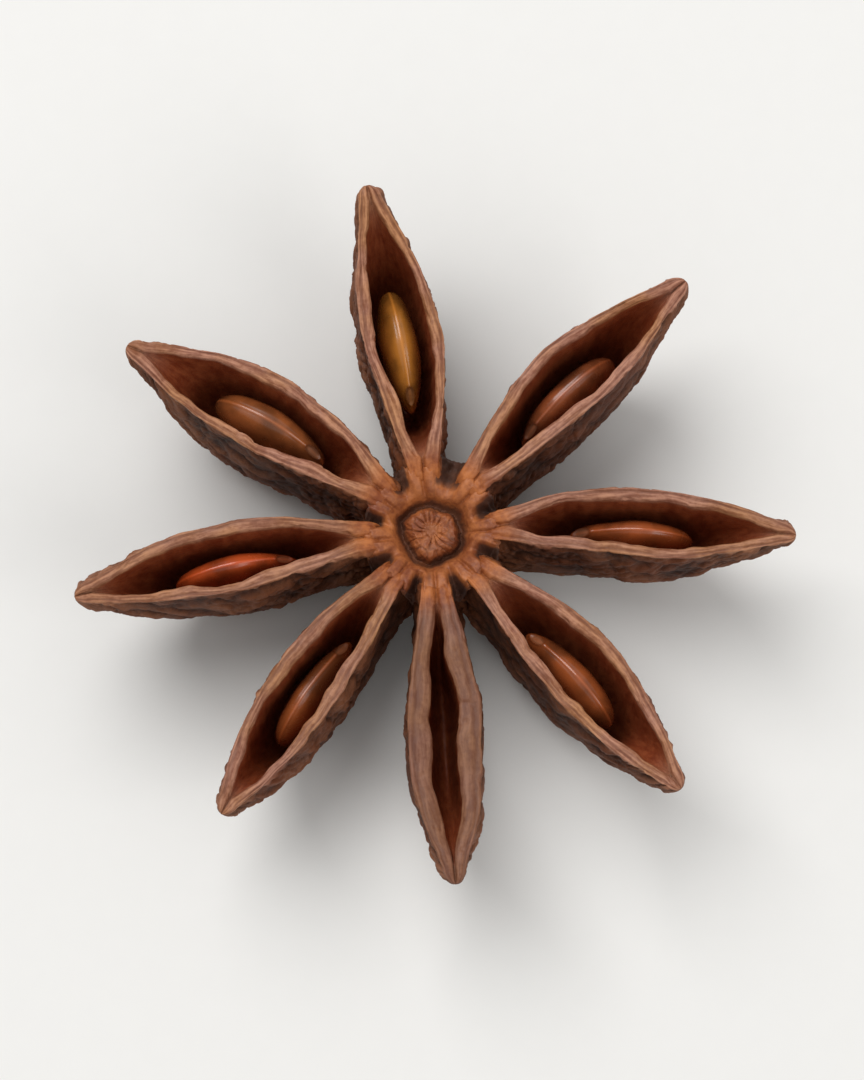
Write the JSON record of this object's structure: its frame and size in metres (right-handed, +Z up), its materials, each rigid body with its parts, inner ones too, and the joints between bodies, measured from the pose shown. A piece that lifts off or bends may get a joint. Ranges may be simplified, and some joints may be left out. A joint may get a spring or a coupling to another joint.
{
  "type": "star anise pod",
  "caption": "Dried star-shaped spice pod lying open side up, its boat-shaped follicles split along the top over flat glossy seeds.",
  "frame": {"origin": "on the axis of the pod's central column, in the plane that its keels rest on", "axes": "+Z up out of the open seams, +X along the follicle at the right, +Y towards the top one"},
  "size_m": [0.0297, 0.0292, 0.0084],
  "materials": {
    "pod_skin": "matte",
    "seed_coat": "gloss"
  },
  "bodies": {
    "root": {"pod": "pod_skin", "seed_east": "seed_coat", "seed_north_east": "seed_coat", "seed_north": "seed_coat", "seed_north_west": "seed_coat", "seed_west": "seed_coat", "seed_south_west": "seed_coat", "seed_south_east": "seed_coat"}
  },
  "joints": []
}
